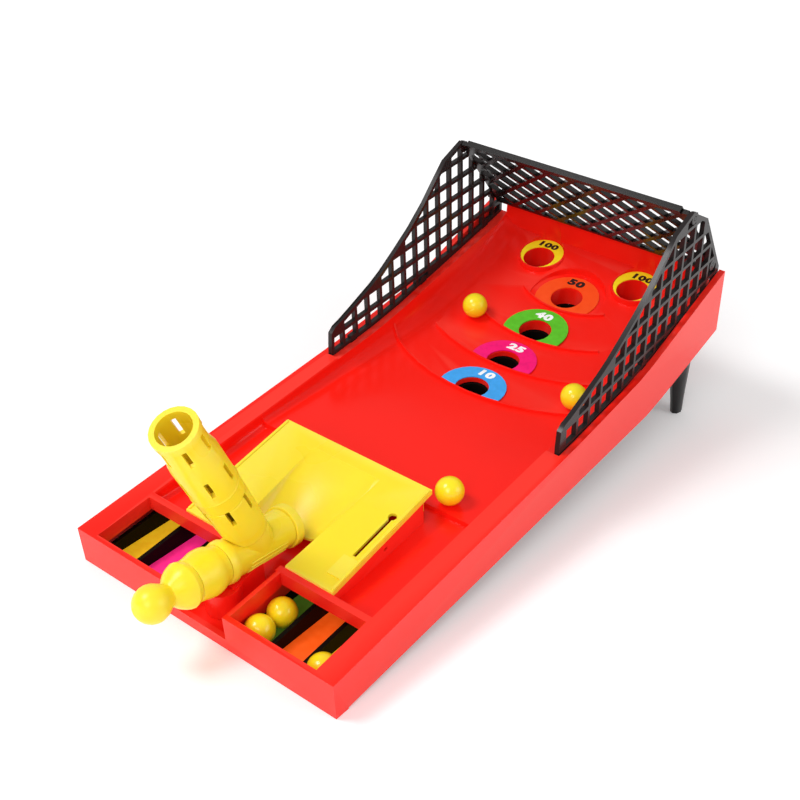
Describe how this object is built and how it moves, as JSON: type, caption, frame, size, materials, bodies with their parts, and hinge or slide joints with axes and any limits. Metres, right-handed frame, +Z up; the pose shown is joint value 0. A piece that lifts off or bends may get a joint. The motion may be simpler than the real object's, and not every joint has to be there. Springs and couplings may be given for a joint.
{
  "type": "ball shooting game",
  "caption": "Table-top shooting game: a sloped red play field with ringed score holes, net walls, return lanes, and a yellow spring launcher with a ball magazine.",
  "frame": {"origin": "middle of the footprint, on the surface that the front foot and the two legs stand on", "axes": "+X to the player's right, +Y from the launcher at the front towards the net at the rear, +Z up"},
  "size_m": [0.18, 0.4282, 0.1596],
  "materials": {
    "red_plastic": "gloss",
    "black_plastic": "satin",
    "yellow_plastic": "gloss",
    "ball_plastic": "gloss",
    "yellow_sticker": "satin",
    "pink_sticker": "satin",
    "blue_sticker": "satin",
    "green_sticker": "satin",
    "orange_sticker": "satin",
    "steel": "brushed"
  },
  "bodies": {
    "base": {"deck_shell": "red_plastic", "lower_tray": "black_plastic", "lane_strip_yellow_left": "yellow_sticker", "lane_strip_pink": "pink_sticker", "lane_strip_blue": "blue_sticker", "lane_strip_green": "green_sticker", "lane_strip_orange": "orange_sticker", "lane_strip_yellow_right": "yellow_sticker", "score_ring_10": "blue_sticker", "score_ring_25": "pink_sticker", "score_ring_40": "green_sticker", "score_ring_50": "orange_sticker", "score_ring_left_100": "yellow_sticker", "score_ring_right_100": "yellow_sticker", "net_left": "black_plastic", "net_right": "black_plastic", "net_back": "black_plastic", "leg_left": "black_plastic", "leg_right": "black_plastic", "ramp_plate": "yellow_plastic", "tray_screw_1": "steel", "tray_screw_2": "steel", "tray_screw_3": "steel", "tray_screw_4": "steel", "tray_screw_5": "steel"},
    "launcher": {"launcher_cradle": "red_plastic", "launcher_barrel": "yellow_plastic", "launcher_end_cap": "yellow_plastic", "nose_ring": "yellow_plastic", "magazine_tube": "yellow_plastic", "plunger_spring": "steel", "pivot_washer": "steel", "pivot_screw": "steel", "cradle_screw": "steel"},
    "plunger": {"plunger_handle": "yellow_plastic", "plunger_piston": "yellow_plastic"},
    "ball_1": {"ball_1": "ball_plastic"},
    "ball_2": {"ball_2": "ball_plastic"},
    "ball_3": {"ball_3": "ball_plastic"},
    "ball_4": {"ball_4": "ball_plastic"},
    "ball_5": {"ball_5": "ball_plastic"},
    "ball_6": {"ball_6": "ball_plastic"}
  },
  "joints": [
    {"name": "launcher_swivel", "type": "hinge", "parent": "base", "child": "launcher", "pos_m": [0, -0.1573, 0.01584], "axis": [0, -0.1309, 0.9914], "range_deg": [-6, 6]},
    {"name": "plunger_pull", "type": "slide", "parent": "launcher", "child": "plunger", "axis": [0, -0.9973, 0.0737], "range_m": [0, 0.017], "stiffness_N_per_m": 60, "springref_m": -0.002, "deforming": ["plunger_spring"]},
    {"name": "ball_1_lift", "type": "slide", "parent": "base", "child": "ball_1", "axis": [0, -0.1309, 0.9914], "range_m": [0, 0.04]},
    {"name": "ball_2_lift", "type": "slide", "parent": "base", "child": "ball_2", "axis": [0, -0.1309, 0.9914], "range_m": [0, 0.04]},
    {"name": "ball_3_lift", "type": "slide", "parent": "base", "child": "ball_3", "axis": [0, -0.1309, 0.9914], "range_m": [0, 0.04]},
    {"name": "ball_4_lift", "type": "slide", "parent": "base", "child": "ball_4", "axis": [0.2148, -0.1279, 0.9682], "range_m": [0, 0.04]},
    {"name": "ball_5_roll", "type": "slide", "parent": "base", "child": "ball_5", "axis": [0, 0.9998, 0.0174], "range_m": [0, 0.05]},
    {"name": "ball_6_roll", "type": "slide", "parent": "base", "child": "ball_6", "axis": [0, 0.9998, 0.0174], "range_m": [0, 0.05]}
  ]
}
